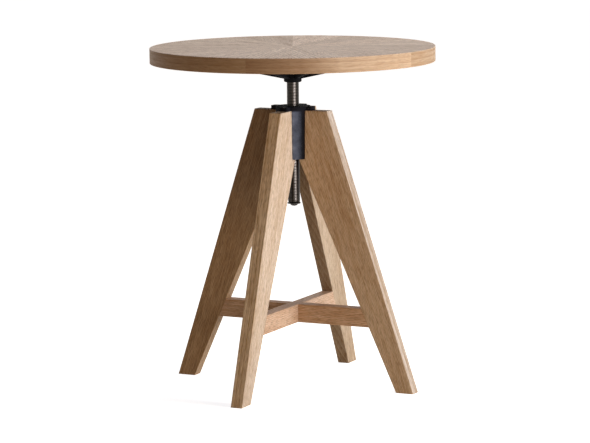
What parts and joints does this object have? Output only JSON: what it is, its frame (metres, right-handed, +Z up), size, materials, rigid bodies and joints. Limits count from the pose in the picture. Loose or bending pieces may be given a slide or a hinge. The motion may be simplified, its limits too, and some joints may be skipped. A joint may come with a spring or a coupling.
{
  "type": "screw height table",
  "caption": "Round oak side table on four splayed legs; the top turns on a steel lifting screw in a cast-iron hub to change height.",
  "frame": {"origin": "on the floor, under the middle of the round top", "axes": "+Z up along the lifting screw; the four legs point to +X, +Y, -X and -Y, and -Y is the front leg"},
  "size_m": [0.5998, 0.5998, 0.72],
  "materials": {
    "oak_leg": "matt oiled oak, straight grain along the board",
    "oak_stretcher": "matt oiled oak, straight grain along the board",
    "oak_lipping": "matt oiled oak, grain round the edge",
    "oak_veneer": "matt oak veneer leaves, grain running out from the middle",
    "core_board": "raw fibreboard",
    "cast_iron_hub": "blue-grey sand-cast skin",
    "cast_iron_black": "black sand-cast skin",
    "screw_steel": "dark oiled steel thread, bright on the crests",
    "fixing_steel": "blackened steel"
  },
  "bodies": {
    "base": {"leg_right": "oak_leg", "leg_back": "oak_leg", "leg_left": "oak_leg", "leg_front": "oak_leg", "stretcher_left_right": "oak_stretcher", "stretcher_front_back": "oak_stretcher", "screw_hub": "cast_iron_hub", "arm_screw_right": "fixing_steel", "arm_screw_back": "fixing_steel", "arm_screw_left": "fixing_steel", "arm_screw_front": "fixing_steel"},
    "lift": {"stop_washer": "fixing_steel"},
    "top": {"lift_screw": "screw_steel", "stop_bolt": "fixing_steel", "top_casting": "cast_iron_black", "grub_screw": "fixing_steel", "plate_screw_1": "fixing_steel", "plate_screw_2": "fixing_steel", "plate_screw_3": "fixing_steel", "plate_screw_4": "fixing_steel", "plate_screw_5": "fixing_steel", "plate_screw_6": "fixing_steel", "plate_screw_7": "fixing_steel", "plate_screw_8": "fixing_steel", "core_board": "core_board", "underside_veneer": "oak_veneer", "edge_lipping_1": "oak_lipping", "edge_lipping_2": "oak_lipping", "edge_lipping_3": "oak_lipping", "edge_lipping_4": "oak_lipping", "edge_lipping_5": "oak_lipping", "veneer_leaf_01": "oak_veneer", "veneer_leaf_02": "oak_veneer", "veneer_leaf_03": "oak_veneer", "veneer_leaf_04": "oak_veneer", "veneer_leaf_05": "oak_veneer", "veneer_leaf_06": "oak_veneer", "veneer_leaf_07": "oak_veneer", "veneer_leaf_08": "oak_veneer", "veneer_leaf_09": "oak_veneer", "veneer_leaf_10": "oak_veneer", "veneer_leaf_11": "oak_veneer", "veneer_leaf_12": "oak_veneer", "veneer_leaf_13": "oak_veneer", "veneer_leaf_14": "oak_veneer", "veneer_leaf_15": "oak_veneer", "veneer_leaf_16": "oak_veneer"}
  },
  "joints": [
    {"name": "top_rise", "type": "slide", "parent": "base", "child": "lift", "axis": [0, 0, 1], "range_m": [-0.0481, 0.0901]},
    {"name": "top_turn", "type": "hinge", "parent": "lift", "child": "top", "pos_m": [0, 0, 0.6], "axis": [0, 0, 1], "range_deg": [-2880, 5400]}
  ],
  "couplings": [
    {"joint": "top_rise", "follows": "top_turn", "m_per_rad": 0.00095493}
  ]
}
